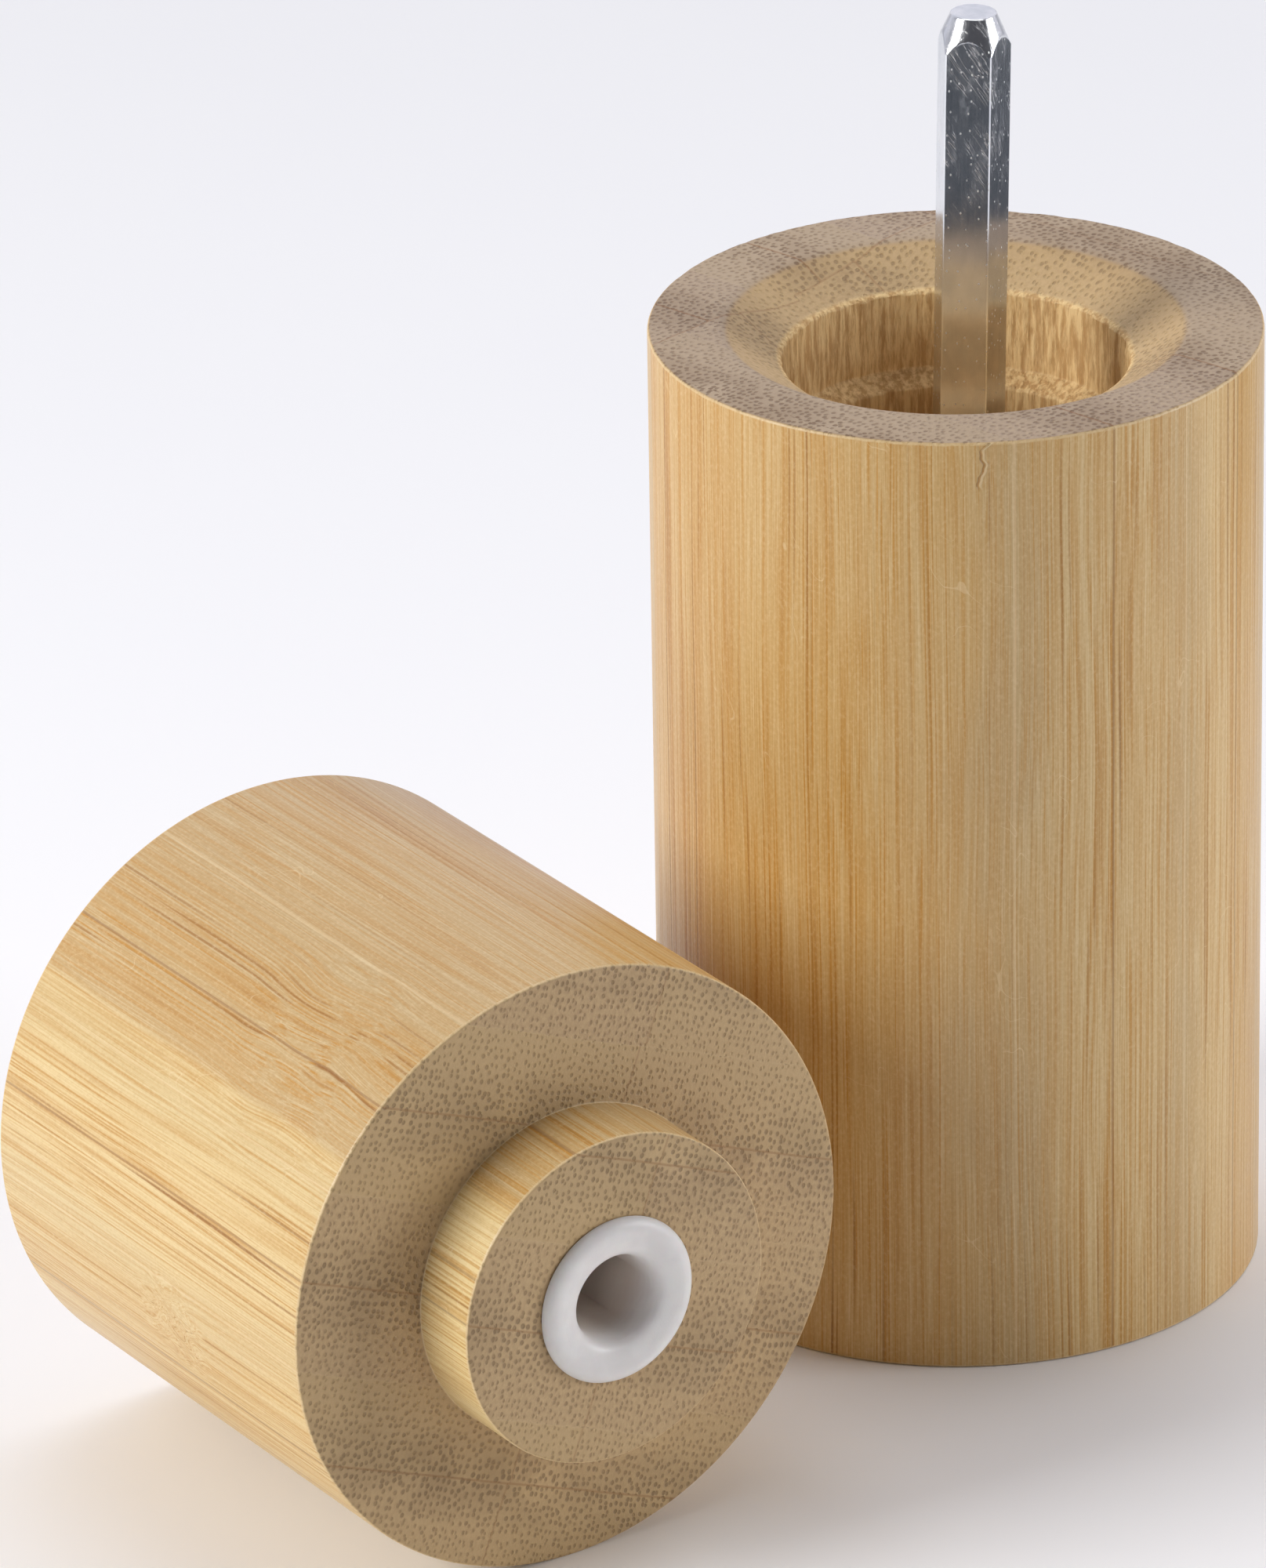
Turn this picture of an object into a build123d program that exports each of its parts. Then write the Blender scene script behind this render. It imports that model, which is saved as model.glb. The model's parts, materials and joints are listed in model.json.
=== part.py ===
"""Bamboo spice mill with its head pulled off and laid beside it.

The barrel stands on the origin with its grinder screwed into the base. The
drive shaft stands loose in the grinder's socket and leans a little. The head
lies on its side on the same surface. Units are millimetres, +Z is up.
"""

import os
from math import cos, radians, sin

from build123d import *

os.makedirs("parts", exist_ok=True)

# ---- driving dimensions ------------------------------------------------------
# barrel
barrel_radius = 26.0
barrel_height = 85.4
edge_bevel = 0.35
dish_radius = 19.65
mouth_radius = 14.7
dish_depth = 3.05
mouth_length = 6.9
chamber_radius = 13.0
ledge_drop = 1.1
recess_radius = 22.5
recess_depth = 7.2
pocket_radius = 16.2
pocket_top = 31.4

# head
head_radius = 26.5
head_length = 46.1
spigot_radius = 14.5
spigot_length = 6.85
head_face_center = (-33.64, -58.62)
head_azimuth = -56.42
head_bore_depth = 40.0
head_bore_radius = 4.3

# drive bush in the head
bush_flange_radius = 7.3
bush_crown = 0.9
bush_radius = 5.2
bush_length = 25.0
bush_corner_radius = 3.62
bush_corner_azimuth = 12.0

# drive shaft: a five-sided bar
shaft_corner_radius = 3.28
shaft_corner_azimuth = 7.6
shaft_tip_radius = 1.92
shaft_tip_taper = 3.1
shaft_bottom = 15.2
shaft_top = 113.4
shaft_lean = 0.98
shaft_pivot_height = 21.0
socket_play = 0.2

# clearances shared by the grinder's pieces
turning_gap = 0.1
assembly_gap = 0.05

# grinder housing
housing_bottom = 5.2
housing_top = 31.0
housing_radius = 16.0
housing_bore = 13.9
bridge_seat = 27.0
bridge_seat_bore = 14.5
outlet_radius = 12.7
burr_seat = 9.0
boss_radius = 5.8
boss_top = 8.2
collar_bore = 4.5
collar_top = 11.4
slot_bottom = 8.9
arm_width = 2.4
arm_count = 3
arm_azimuth = 30
key_azimuth = 90
screw_circle_radius = 19.0
screw_count = 3

# burrs
outer_burr_radius = 13.75
outer_burr_top = 20.0
throat_height = 13.2
throat_radius = 9.35
outer_burr_skirt_radius = 11.75
outer_burr_feed_radius = 11.4
burr_gap = 0.75
inner_burr_top = 20.5
inner_burr_neck = 6.6
inner_burr_recess = 6.8
fine_teeth = 24
coarse_teeth = 6

# rotor hub
hub_radius = 5.0
hub_bottom = 12.33
hub_flange_radius = 6.55
hub_flange_top = 13.5
hub_top = 31.5
socket_floor = 14.9
socket_guide_top = 27.0
socket_relief_radius = 3.9

# adjuster
dial_radius = 6.5
dial_bottom = 2.4
dial_top = 5.0
neck_radius = 3.0
neck_top = 9.2
stud_radius = 1.5
ball_radius = 1.2


# ---- helpers -----------------------------------------------------------------
def turned(points):
    """Revolve a closed outline of (radius, height) points about the Z axis."""
    with BuildSketch(Plane.XZ) as outline:
        with BuildLine():
            Polyline(*points, close=True)
        make_face()
    revolve(outline.sketch, axis=Axis.Z)


def around(count, radius, height, run, rise, skew):
    """Planes spaced round Z that look along a wall going out by run and up by rise."""
    planes = []
    for number in range(count):
        angle = radians(360 / count * number)
        outward = Vector(cos(angle), sin(angle), 0)
        sideways = Vector(-sin(angle), cos(angle), 0)
        planes.append(
            Plane(
                origin=outward * radius + Vector(0, 0, height),
                x_dir=sideways,
                z_dir=outward * run + sideways * skew + Vector(0, 0, rise),
            )
        )
    return planes


def pentagon(radius):
    """A regular pentagon whose corners stand at the shaft's own angles."""
    RegularPolygon(radius=radius, side_count=5, rotation=shaft_corner_azimuth)


# ---- barrel ------------------------------------------------------------------
mouth_top = barrel_height - dish_depth
ledge_top = mouth_top - mouth_length
pilot_radius = 1.15
pilot_top = 16.0

with BuildPart() as barrel:
    turned(
        [
            (recess_radius, 0),
            (barrel_radius - edge_bevel, 0),
            (barrel_radius, edge_bevel),
            (barrel_radius, barrel_height - edge_bevel),
            (barrel_radius - edge_bevel, barrel_height),
            (dish_radius, barrel_height),
            (mouth_radius, mouth_top),
            (mouth_radius, ledge_top),
            (chamber_radius, ledge_top - ledge_drop),
            (chamber_radius, pocket_top),
            (pocket_radius, pocket_top),
            (pocket_radius, recess_depth),
            (recess_radius, recess_depth),
        ]
    )
    with BuildSketch(Plane.XY.offset(recess_depth)):
        with PolarLocations(screw_circle_radius, screw_count, start_angle=key_azimuth):
            Circle(pilot_radius)
    extrude(amount=pilot_top - recess_depth, mode=Mode.SUBTRACT)

barrel.part.label = "barrel"
export_step(barrel.part, "parts/barrel.step")

# ---- grinder housing: flange, tube, outlet spider and adjuster collar ---------
rib_width = 1.8
rib_depth = 0.8
rib_root = 0.4
rib_count = 3
flange_gap = 0.3
stud_slot_length = 3.4
stud_slot_width = 1.8
screw_hole_radius = 1.3

with BuildPart() as grinder_housing:
    turned(
        [
            (outlet_radius, housing_bottom),
            (recess_radius - flange_gap, housing_bottom),
            (recess_radius - flange_gap, recess_depth),
            (housing_radius, recess_depth),
            (housing_radius, housing_top),
            (bridge_seat_bore, housing_top),
            (bridge_seat_bore, bridge_seat),
            (housing_bore, bridge_seat),
            (housing_bore, burr_seat),
            (outlet_radius, burr_seat),
        ]
    )
    # three arms carry the boss across the outlet
    with BuildSketch(Plane.XY.offset(housing_bottom)):
        with PolarLocations(outlet_radius / 2 + 1, arm_count, start_angle=arm_azimuth):
            Rectangle(outlet_radius, arm_width)
        Circle(boss_radius)
    extrude(amount=boss_top - housing_bottom)
    with BuildSketch(Plane.XY.offset(boss_top)):
        Circle(boss_radius)
    extrude(amount=collar_top - boss_top)
    with BuildSketch(Plane.XY.offset(housing_bottom)):
        Circle(neck_radius + turning_gap)
    extrude(amount=boss_top - housing_bottom, mode=Mode.SUBTRACT)
    with BuildSketch(Plane.XY.offset(boss_top)):
        Circle(collar_bore)
    extrude(amount=collar_top - boss_top, mode=Mode.SUBTRACT)
    # slots that keep the lifting stud from turning
    with BuildSketch(Plane.XY.offset(slot_bottom)):
        with PolarLocations(boss_radius, arm_count, start_angle=arm_azimuth):
            Rectangle(stud_slot_length, stud_slot_width)
    extrude(amount=collar_top - slot_bottom, mode=Mode.SUBTRACT)
    # ribs that key the fixed burr
    with BuildSketch(Plane.XY.offset(burr_seat)):
        with PolarLocations(housing_bore - (rib_depth - rib_root) / 2, rib_count, start_angle=key_azimuth):
            Rectangle(rib_depth + rib_root, rib_width)
    extrude(amount=outer_burr_top - burr_seat)
    with BuildSketch(Plane.XY.offset(housing_bottom)):
        with PolarLocations(screw_circle_radius, screw_count, start_angle=key_azimuth):
            Circle(screw_hole_radius)
    extrude(amount=recess_depth - housing_bottom, mode=Mode.SUBTRACT)

grinder_housing.part.label = "grinder_housing"
export_step(grinder_housing.part, "parts/grinder_housing.step")

# ---- three housing screws ----------------------------------------------------
screw_head_radius = 2.4
screw_head_height = 1.6
screw_head_round = 0.6
screw_radius = 1.1
screw_tip = 14.8
screw_point = 0.8
cross_length = 2.6
cross_width = 0.6
cross_depth = 1.0

with BuildPart() as housing_screws:
    with BuildSketch(Plane.XY.offset(housing_bottom - screw_head_height)):
        with PolarLocations(screw_circle_radius, screw_count, start_angle=key_azimuth):
            Circle(screw_head_radius)
    extrude(amount=screw_head_height)
    head_rims = housing_screws.edges().filter_by(GeomType.CIRCLE).group_by(Axis.Z)[0]
    fillet(head_rims, radius=screw_head_round)
    with BuildSketch(Plane.XY.offset(housing_bottom)):
        with PolarLocations(screw_circle_radius, screw_count, start_angle=key_azimuth):
            Circle(screw_radius)
    extrude(amount=screw_tip - housing_bottom)
    shank_rims = housing_screws.edges().filter_by(GeomType.CIRCLE).group_by(Axis.Z)[-1]
    chamfer(shank_rims, length=screw_point)
    # cross recess
    with BuildSketch(Plane.XY.offset(housing_bottom - screw_head_height)):
        with PolarLocations(screw_circle_radius, screw_count, start_angle=key_azimuth):
            Rectangle(cross_length, cross_width)
            Rectangle(cross_width, cross_length)
    extrude(amount=cross_depth, mode=Mode.SUBTRACT)

housing_screws.part.label = "housing_screws"
export_step(housing_screws.part, "parts/housing_screws.step")

# ---- outer burr: the fixed ceramic ring --------------------------------------
skirt_run = throat_radius - outer_burr_skirt_radius
skirt_rise = throat_height - burr_seat
feed_run = outer_burr_feed_radius - throat_radius
feed_rise = outer_burr_top - throat_height
tooth_skew = 1.2
fine_groove = 0.55
coarse_groove = 1.3
fine_reach = 7.0
coarse_reach = 4.0
fine_grooves = around(
    fine_teeth, outer_burr_skirt_radius, burr_seat, skirt_run, skirt_rise, tooth_skew
)
coarse_grooves = around(
    coarse_teeth, outer_burr_feed_radius, outer_burr_top, feed_run, feed_rise, -tooth_skew
)

with BuildPart() as outer_burr:
    turned(
        [
            (outer_burr_skirt_radius, burr_seat),
            (outer_burr_radius, burr_seat),
            (outer_burr_radius, outer_burr_top),
            (outer_burr_feed_radius, outer_burr_top),
            (throat_radius, throat_height),
        ]
    )
    with BuildSketch(*fine_grooves):
        RegularPolygon(radius=fine_groove, side_count=4)
    extrude(amount=fine_reach, both=True, mode=Mode.SUBTRACT)
    with BuildSketch(*coarse_grooves):
        RegularPolygon(radius=coarse_groove, side_count=4)
    extrude(amount=coarse_reach, both=True, mode=Mode.SUBTRACT)
    # keyways for the housing's ribs
    with BuildSketch(Plane.XY.offset(burr_seat)):
        with PolarLocations(outer_burr_radius, rib_count, start_angle=key_azimuth):
            Rectangle(2 * (rib_depth + turning_gap), rib_width + rib_root)
    extrude(amount=outer_burr_top - burr_seat, mode=Mode.SUBTRACT)

outer_burr.part.label = "outer_burr"
export_step(outer_burr.part, "parts/outer_burr.step")

# ---- burr retainer: a snap ring over the fixed burr ---------------------------
retainer_inner = 12.1
retainer_height = 1.6
retainer_bevel = 0.4
finger_slot_depth = 1.4
finger_slot_width = 3.0
finger_count = 4

with BuildPart() as burr_retainer:
    with BuildSketch(Plane.XY.offset(outer_burr_top)):
        Circle(outer_burr_radius + assembly_gap)
        Circle(retainer_inner, mode=Mode.SUBTRACT)
        with PolarLocations(retainer_inner, finger_count, start_angle=45):
            Rectangle(finger_slot_depth, finger_slot_width, mode=Mode.SUBTRACT)
    extrude(amount=retainer_height)
    top_rims = burr_retainer.edges().filter_by(GeomType.CIRCLE).group_by(Axis.Z)[-1]
    chamfer(top_rims.sort_by(SortBy.RADIUS)[-1], length=retainer_bevel)

burr_retainer.part.label = "burr_retainer"
export_step(burr_retainer.part, "parts/burr_retainer.step")

# ---- inner burr: the turning ceramic cone -------------------------------------
inner_skirt_radius = outer_burr_skirt_radius - burr_gap
inner_throat_radius = throat_radius - burr_gap
inner_fine_groove = 0.5
inner_coarse_groove = 0.9
inner_coarse_reach = 4.5
key_width = 1.6
key_height = 0.8
keyway_depth = 4.2
inner_fine_grooves = around(
    fine_teeth, inner_skirt_radius, burr_seat, skirt_run, skirt_rise, -tooth_skew
)
inner_coarse_grooves = around(
    coarse_teeth,
    inner_burr_neck,
    inner_burr_top,
    inner_burr_neck - inner_throat_radius,
    inner_burr_top - throat_height,
    2 * tooth_skew,
)

with BuildPart() as inner_burr:
    turned(
        [
            (inner_burr_recess, burr_seat),
            (inner_skirt_radius, burr_seat),
            (inner_throat_radius, throat_height),
            (inner_burr_neck, inner_burr_top),
            (hub_radius + turning_gap, inner_burr_top),
            (hub_radius + turning_gap, hub_flange_top),
            (inner_burr_recess, hub_flange_top),
        ]
    )
    with BuildSketch(*inner_fine_grooves):
        RegularPolygon(radius=inner_fine_groove, side_count=4)
    extrude(amount=fine_reach, both=True, mode=Mode.SUBTRACT)
    with BuildSketch(*inner_coarse_grooves):
        RegularPolygon(radius=inner_coarse_groove, side_count=4)
    extrude(amount=inner_coarse_reach, both=True, mode=Mode.SUBTRACT)
    # keyways for the hub's keys
    with BuildSketch(Plane.XY.offset(hub_flange_top)):
        with PolarLocations(hub_radius + 2 * turning_gap, 2):
            Rectangle(2 * key_height, key_width + 2 * turning_gap)
    extrude(amount=keyway_depth, mode=Mode.SUBTRACT)

inner_burr.part.label = "inner_burr"
export_step(inner_burr.part, "parts/inner_burr.step")

# ---- rotor hub: spindle with the five-sided socket ----------------------------
snap_groove_bottom = 24.3
snap_groove_height = 0.8
snap_groove_radius = 4.1

with BuildPart() as rotor_hub:
    turned(
        [
            (0, hub_bottom),
            (hub_flange_radius, hub_bottom),
            (hub_flange_radius, hub_flange_top),
            (hub_radius, hub_flange_top),
            (hub_radius, hub_top),
            (0, hub_top),
        ]
    )
    with BuildSketch(Plane.XY.offset(hub_flange_top)):
        with PolarLocations(hub_radius - turning_gap, 2):
            Rectangle(2 * (key_height - turning_gap), key_width)
    extrude(amount=keyway_depth - 2 * turning_gap)
    with BuildSketch(Plane.XY.offset(socket_floor)):
        pentagon(shaft_corner_radius + socket_play)
    extrude(amount=socket_guide_top - socket_floor, mode=Mode.SUBTRACT)
    with BuildSketch(Plane.XY.offset(socket_guide_top)):
        Circle(socket_relief_radius)
    extrude(amount=hub_top - socket_guide_top, mode=Mode.SUBTRACT)
    with BuildSketch(Plane.XY.offset(snap_groove_bottom)):
        Circle(snap_groove_radius)
    extrude(amount=snap_groove_height, mode=Mode.SUBTRACT)

rotor_hub.part.label = "rotor_hub"
export_step(rotor_hub.part, "parts/rotor_hub.step")

# ---- socket snap ring: keeps the shaft in its socket --------------------------
snap_ring_bore = 2.62
snap_ring_opening = 2.2

with BuildPart() as socket_snap_ring:
    with BuildSketch(Plane.XY.offset(snap_groove_bottom + turning_gap)):
        Circle(snap_groove_radius - assembly_gap)
        Circle(snap_ring_bore, mode=Mode.SUBTRACT)
        with Locations((snap_groove_radius, 0)):
            Rectangle(snap_groove_radius, snap_ring_opening, mode=Mode.SUBTRACT)
    extrude(amount=snap_groove_height - 2 * turning_gap)

socket_snap_ring.part.label = "socket_snap_ring"
export_step(socket_snap_ring.part, "parts/socket_snap_ring.step")

# ---- feeder: finned collar that pushes peppercorns into the burrs -------------
feeder_bottom = inner_burr_top + assembly_gap
feeder_top = 22.5
feeder_radius = 7.1
fin_center = 8.2
fin_length = 4.6
fin_width = 1.8
fin_sweep = 35
fin_round = 0.5

with BuildPart() as feeder:
    with BuildSketch(Plane.XY.offset(feeder_bottom)):
        Circle(feeder_radius)
        with PolarLocations(fin_center, 3):
            Rectangle(fin_length, fin_width, rotation=fin_sweep)
    extrude(amount=feeder_top - feeder_bottom)
    fillet(feeder.edges().filter_by(Axis.Z).group_by(SortBy.DISTANCE)[-1], radius=fin_round)
    with BuildSketch(Plane.XY.offset(feeder_bottom)):
        Circle(hub_radius + turning_gap)
    extrude(amount=feeder_top - feeder_bottom, mode=Mode.SUBTRACT)

feeder.part.label = "feeder"
export_step(feeder.part, "parts/feeder.step")

# ---- spring washer, preload spring and bearing sleeve -------------------------
washer_bottom = feeder_top + assembly_gap
washer_top = 23.1
washer_radius = 7.0
washer_bore = 5.25
sleeve_flange_bottom = 26.4
sleeve_flange_radius = 7.2
sleeve_radius = 6.2
sleeve_bore = 5.15
sleeve_top = 30.6
spring_wire_radius = 0.35
spring_radius = 6.15
spring_pitch = 0.86
spring_end_gap = 0.03

with BuildPart() as spring_washer:
    with BuildSketch(Plane.XY.offset(washer_bottom)):
        Circle(washer_radius)
        Circle(washer_bore, mode=Mode.SUBTRACT)
    extrude(amount=washer_top - washer_bottom)

spring_washer.part.label = "spring_washer"
export_step(spring_washer.part, "parts/spring_washer.step")

spring_bottom = washer_top + spring_wire_radius + spring_end_gap
spring_height = sleeve_flange_bottom - spring_end_gap - spring_wire_radius - spring_bottom

with BuildPart() as preload_spring:
    with BuildLine(Plane.XY.offset(spring_bottom)):
        coil = Helix(pitch=spring_pitch, height=spring_height, radius=spring_radius)
    with BuildSketch(Plane(origin=coil @ 0, z_dir=coil % 0)):
        Circle(spring_wire_radius)
    sweep(path=coil, is_frenet=True)

preload_spring.part.label = "preload_spring"
export_step(preload_spring.part, "parts/preload_spring.step")

with BuildPart() as bearing_sleeve:
    turned(
        [
            (sleeve_bore, sleeve_flange_bottom),
            (sleeve_flange_radius, sleeve_flange_bottom),
            (sleeve_flange_radius, bridge_seat),
            (sleeve_radius, bridge_seat),
            (sleeve_radius, sleeve_top),
            (sleeve_bore, sleeve_top),
        ]
    )

bearing_sleeve.part.label = "bearing_sleeve"
export_step(bearing_sleeve.part, "parts/bearing_sleeve.step")

# ---- bearing bridge: three-armed bridge over the burrs ------------------------
bridge_top = 30.0
bridge_hub_radius = 7.9
bridge_ring_bore = 13.1
bridge_arm_length = 6.4

with BuildPart() as bearing_bridge:
    with BuildSketch(Plane.XY.offset(bridge_seat)):
        Circle(bridge_seat_bore - turning_gap)
        Circle(bridge_ring_bore, mode=Mode.SUBTRACT)
        with PolarLocations((bridge_hub_radius + bridge_ring_bore) / 2, arm_count, start_angle=key_azimuth):
            Rectangle(bridge_arm_length, arm_width)
        Circle(bridge_hub_radius)
        Circle(sleeve_radius, mode=Mode.SUBTRACT)
    extrude(amount=bridge_top - bridge_seat)

bearing_bridge.part.label = "bearing_bridge"
export_step(bearing_bridge.part, "parts/bearing_bridge.step")

# ---- adjuster dial: captive nut with a finger wing ----------------------------
clip_groove_bottom = 8.25
clip_groove_height = 0.6
clip_groove_radius = 2.5
grip_notch_radius = 0.7
grip_notch_count = 16
wing_length = 11.0
wing_width = 2.6
wing_height = 1.5
wing_round = 0.4
thread_bottom = 3.0

with BuildPart() as adjuster_dial:
    with BuildSketch(Plane.XY.offset(dial_bottom)):
        Circle(dial_radius)
        with PolarLocations(dial_radius + grip_notch_radius / 2, grip_notch_count):
            Circle(grip_notch_radius, mode=Mode.SUBTRACT)
    extrude(amount=dial_top - dial_bottom)
    with BuildSketch(Plane.XY.offset(dial_bottom)):
        SlotOverall(wing_length, wing_width)
    extrude(amount=-wing_height)
    fillet(adjuster_dial.edges().group_by(Axis.Z)[0], radius=wing_round)
    with BuildSketch(Plane.XY.offset(dial_top)):
        Circle(neck_radius)
    extrude(amount=neck_top - dial_top)
    with BuildSketch(Plane.XY.offset(clip_groove_bottom)):
        Circle(neck_radius)
        Circle(clip_groove_radius, mode=Mode.SUBTRACT)
    extrude(amount=clip_groove_height, mode=Mode.SUBTRACT)
    with BuildSketch(Plane.XY.offset(thread_bottom)):
        Circle(stud_radius + turning_gap)
    extrude(amount=neck_top - thread_bottom, mode=Mode.SUBTRACT)

adjuster_dial.part.label = "adjuster_dial"
export_step(adjuster_dial.part, "parts/adjuster_dial.step")

# ---- dial clip: holds the dial up in the boss ---------------------------------
clip_radius = 4.1
clip_bore = 2.52
clip_opening = 3.0

with BuildPart() as dial_clip:
    with BuildSketch(Plane.XY.offset(clip_groove_bottom + assembly_gap)):
        Circle(clip_radius)
        Circle(clip_bore, mode=Mode.SUBTRACT)
        with Locations((clip_radius, 0)):
            Rectangle(clip_radius, clip_opening, mode=Mode.SUBTRACT)
    extrude(amount=clip_groove_height - 2 * assembly_gap)

dial_clip.part.label = "dial_clip"
export_step(dial_clip.part, "parts/dial_clip.step")

# ---- lifting stud: keyed in the collar, threaded in the dial ------------------
plate_bottom = 9.5
plate_top = 10.6
plate_radius = 4.2
tab_center = 4.0
tab_length = 3.2
tab_width = 1.4
stud_bottom = 3.6
cup_depth = 0.7

with BuildPart() as thrust_stud:
    with BuildSketch(Plane.XY.offset(plate_bottom)):
        Circle(plate_radius)
        with PolarLocations(tab_center, arm_count, start_angle=arm_azimuth):
            Rectangle(tab_length, tab_width)
    extrude(amount=plate_top - plate_bottom)
    with BuildSketch(Plane.XY.offset(stud_bottom)):
        Circle(stud_radius)
    extrude(amount=plate_bottom - stud_bottom)
    with BuildSketch(Plane.XY.offset(plate_top - cup_depth)):
        Circle(ball_radius + assembly_gap)
    extrude(amount=cup_depth, mode=Mode.SUBTRACT)

thrust_stud.part.label = "thrust_stud"
export_step(thrust_stud.part, "parts/thrust_stud.step")

# ---- thrust ball --------------------------------------------------------------
ball_gap = 0.01

with BuildPart() as thrust_ball:
    with Locations((0, 0, plate_top - cup_depth + ball_radius + ball_gap)):
        Sphere(ball_radius)

thrust_ball.part.label = "thrust_ball"
export_step(thrust_ball.part, "parts/thrust_ball.step")

# ---- drive shaft: leaning by the socket's play --------------------------------
lean = radians(shaft_lean)
shaft_plane = Plane(
    origin=(0, 0, shaft_pivot_height),
    x_dir=(cos(lean), 0, -sin(lean)),
    z_dir=(sin(lean), 0, cos(lean)),
)
corner_round = 0.22
snap_neck_radius = 2.4
snap_neck_bottom = 24.0
snap_neck_length = 1.4
# the cone is cut a little past the pentagon's corners
tip_slope = (shaft_corner_radius - shaft_tip_radius) / shaft_tip_taper
cutter_height = shaft_tip_taper + 1
cutter_radius = shaft_corner_radius + 2

with BuildPart() as drive_shaft:
    with BuildSketch(shaft_plane.offset(shaft_bottom - shaft_pivot_height)):
        pentagon(shaft_corner_radius)
    extrude(amount=shaft_top - shaft_bottom)
    long_edges = drive_shaft.edges().group_by(SortBy.LENGTH)[-1]
    fillet(long_edges, radius=corner_round)
    # cone turned on the tip
    with BuildSketch(Plane(origin=shaft_plane.origin, x_dir=shaft_plane.x_dir, z_dir=-shaft_plane.y_dir)):
        with BuildLine():
            tip = shaft_top - shaft_pivot_height
            Polyline(
                (shaft_tip_radius, tip),
                (shaft_tip_radius + tip_slope * cutter_height, tip - cutter_height),
                (cutter_radius, tip - cutter_height),
                (cutter_radius, tip),
                close=True,
            )
        make_face()
    revolve(axis=Axis(shaft_plane.origin, shaft_plane.z_dir), mode=Mode.SUBTRACT)
    # groove for the snap ring
    with BuildSketch(shaft_plane.offset(snap_neck_bottom - shaft_pivot_height)):
        Circle(cutter_radius)
        Circle(snap_neck_radius, mode=Mode.SUBTRACT)
    extrude(amount=snap_neck_length, mode=Mode.SUBTRACT)

drive_shaft.part.label = "drive_shaft"
export_step(drive_shaft.part, "parts/drive_shaft.step")

# ---- head: knob, drive bush and grip ring, lying on its side -------------------
head_direction = Vector(cos(radians(head_azimuth)), sin(radians(head_azimuth)), 0)
face_plane = Plane(
    origin=(head_face_center[0], head_face_center[1], head_radius),
    x_dir=(-head_direction.Y, head_direction.X, 0),
    z_dir=head_direction,
)
top_plane = face_plane.offset(-head_length)
spigot_plane = face_plane.offset(spigot_length)
spigot_axis = Axis(spigot_plane.origin, spigot_plane.z_dir)
spigot_bevel = 0.2
bush_bore_extra = 0.5

with BuildPart() as knob:
    with BuildSketch(top_plane):
        Circle(head_radius)
    extrude(amount=head_length)
    chamfer(knob.edges().filter_by(GeomType.CIRCLE), length=edge_bevel)
    with BuildSketch(face_plane):
        Circle(spigot_radius)
    extrude(amount=spigot_length)
    spigot_rim = knob.edges().filter_by(GeomType.CIRCLE).sort_by(spigot_axis)[-1]
    chamfer(spigot_rim, length=spigot_bevel)
    with BuildSketch(spigot_plane):
        Circle(bush_radius + assembly_gap)
    extrude(amount=-bush_length - bush_bore_extra, mode=Mode.SUBTRACT)
    with BuildSketch(spigot_plane):
        Circle(head_bore_radius)
    extrude(amount=-head_bore_depth, mode=Mode.SUBTRACT)

knob.part.label = "knob"
export_step(knob.part, "parts/knob.step")

grip_depth = 19.0
grip_wire_radius = 0.7
grip_radius = 3.65
bite_rib_height = 0.3
bite_rib_width = 0.8
bite_rib_start = 3.0
flange_edge_height = 0.15
crest_radius = 6.1
flange_inner_radius = 4.6
flange_inner_height = 0.62
funnel_top_radius = 4.65
funnel_waist_radius = 3.85
funnel_waist_height = 0.25
funnel_bottom_radius = 3.11
funnel_depth = 1.6

with BuildPart() as drive_bush:
    with BuildSketch(spigot_plane):
        Circle(bush_radius)
    extrude(amount=-bush_length)
    # ribs that bite into the wood
    with BuildSketch(spigot_plane.offset(-bite_rib_start)):
        with PolarLocations(bush_radius, 6):
            Rectangle(2 * bite_rib_height, bite_rib_width)
    extrude(amount=2 * bite_rib_start - bush_length)
    # crowned flange
    profile_plane = Plane(origin=spigot_plane.origin, x_dir=spigot_plane.x_dir, z_dir=-spigot_plane.y_dir)
    with BuildSketch(profile_plane):
        with BuildLine():
            Polyline((0, 0), (bush_flange_radius, 0), (bush_flange_radius, flange_edge_height))
            Spline(
                (bush_flange_radius, flange_edge_height),
                (crest_radius, bush_crown),
                (flange_inner_radius, flange_inner_height),
                tangents=[(-0.25, 1), (-1, -0.45)],
            )
            Polyline((flange_inner_radius, flange_inner_height), (0, flange_inner_height), (0, 0))
        make_face()
    revolve(axis=spigot_axis)
    with BuildSketch(spigot_plane.offset(-bush_length)):
        RegularPolygon(radius=bush_corner_radius, side_count=5, rotation=bush_corner_azimuth)
    extrude(amount=bush_length + bush_crown, mode=Mode.SUBTRACT)
    # funnel mouth
    with BuildSketch(profile_plane):
        with BuildLine():
            mouth_curve = Spline(
                (funnel_top_radius, bush_crown),
                (funnel_waist_radius, funnel_waist_height),
                (funnel_bottom_radius, -funnel_depth),
                tangents=[(-0.9, -0.45), (-0.05, -1)],
            )
            Polyline(mouth_curve @ 1, (0, -funnel_depth), (0, bush_crown), mouth_curve @ 0)
        make_face()
    revolve(axis=spigot_axis, mode=Mode.SUBTRACT)
    # groove for the grip ring
    with BuildSketch(spigot_plane.offset(-grip_depth - grip_wire_radius - assembly_gap)):
        Circle(grip_radius + grip_wire_radius + assembly_gap)
    extrude(amount=2 * (grip_wire_radius + assembly_gap), mode=Mode.SUBTRACT)

drive_bush.part.label = "drive_bush"
export_step(drive_bush.part, "parts/drive_bush.step")

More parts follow.
